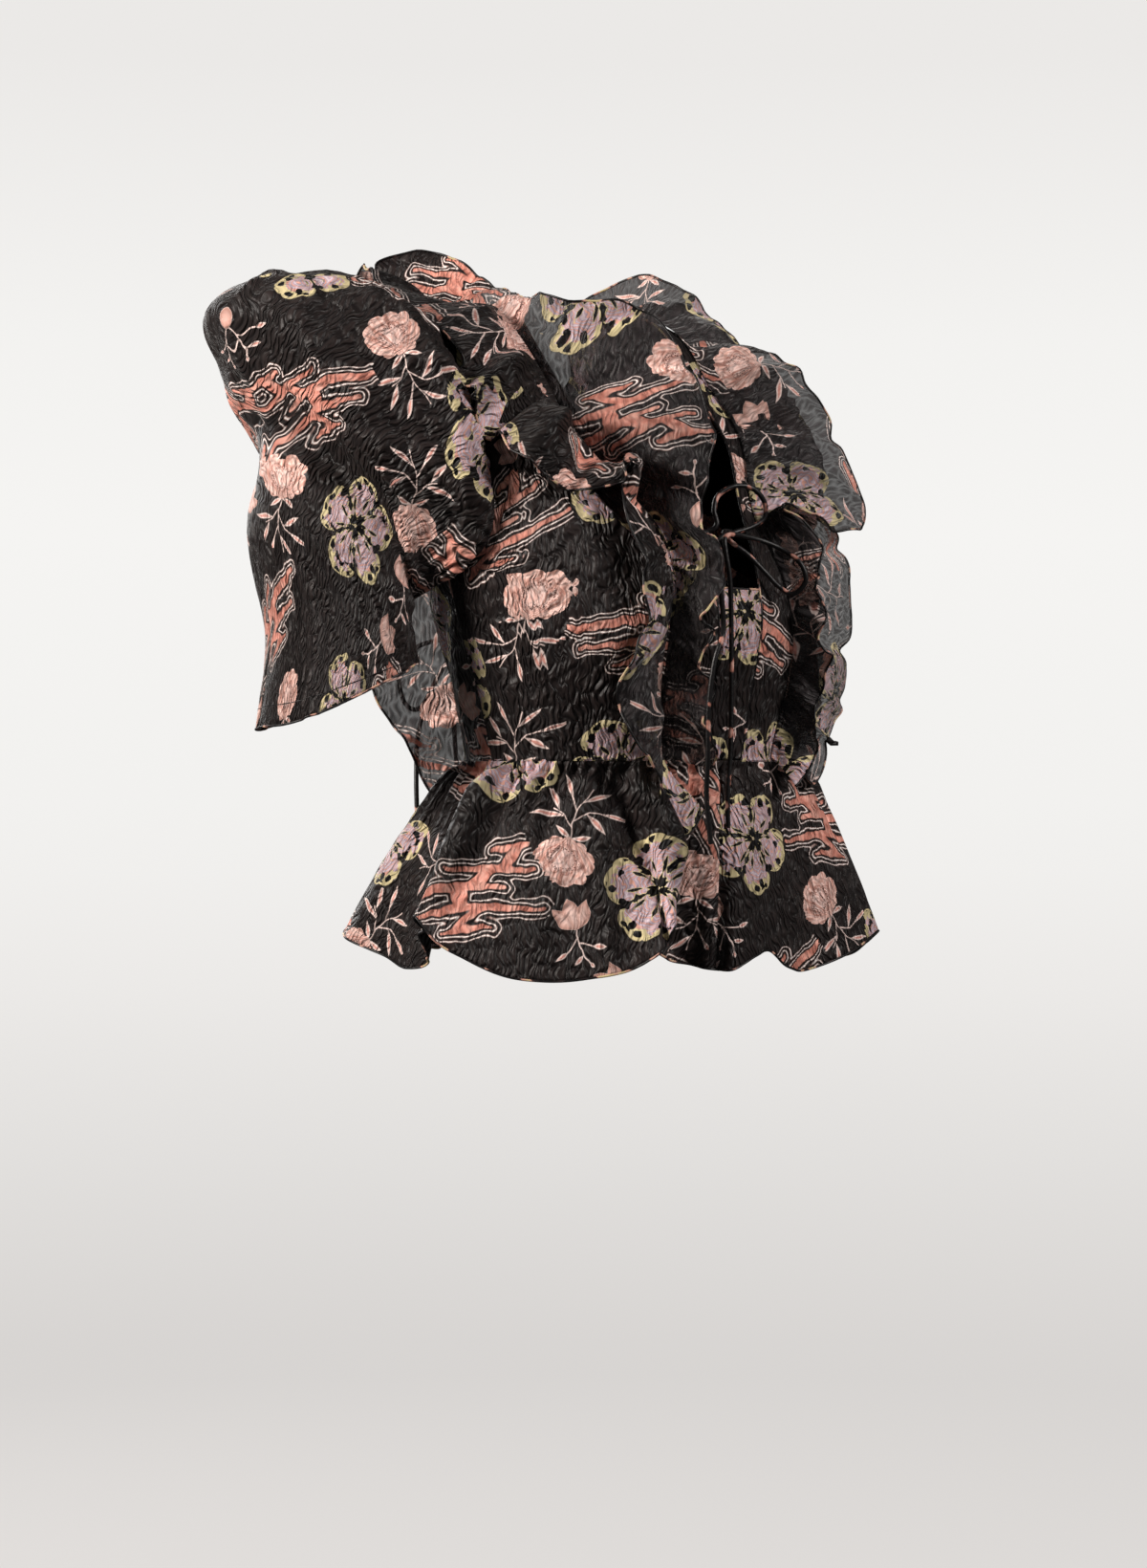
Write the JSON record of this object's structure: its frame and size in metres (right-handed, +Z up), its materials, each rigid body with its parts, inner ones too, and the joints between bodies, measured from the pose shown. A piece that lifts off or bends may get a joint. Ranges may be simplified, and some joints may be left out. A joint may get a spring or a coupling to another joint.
{
  "type": "ruffled peplum blouse, worn form with no wearer",
  "caption": "Short blouse of black crinkled organza with a floral print, puffed elbow sleeves, double ruffles at an open neckline front and back, a fluted peplum and rouleau tie bows.",
  "frame": {"origin": "midway between the two high points of the shoulders, where the wearer holds the blouse up", "axes": "+Z is up, -Y is the way the wearer faces, +X is the wearer's left"},
  "size_m": [0.5296, 0.37, 0.5503],
  "materials": {
    "printed_organza": "matte",
    "tie_satin": "satin"
  },
  "bodies": {
    "root": {"front_left": "printed_organza", "front_right": "printed_organza", "front_side_left": "printed_organza", "front_side_right": "printed_organza", "front_insert": "printed_organza", "back_left": "printed_organza", "back_right": "printed_organza", "sleeve_left": "printed_organza", "sleeve_right": "printed_organza", "peplum_front_left": "printed_organza", "peplum_front_right": "printed_organza", "peplum_back_left": "printed_organza", "peplum_back_right": "printed_organza", "ruffle_inner_right": "printed_organza", "ruffle_outer_right": "printed_organza", "ruffle_upper_left": "printed_organza", "ruffle_lower_left": "printed_organza", "tie_front_left": "tie_satin", "tie_front_right": "tie_satin", "tie_back_left": "tie_satin", "tie_back_right": "tie_satin"}
  },
  "joints": []
}
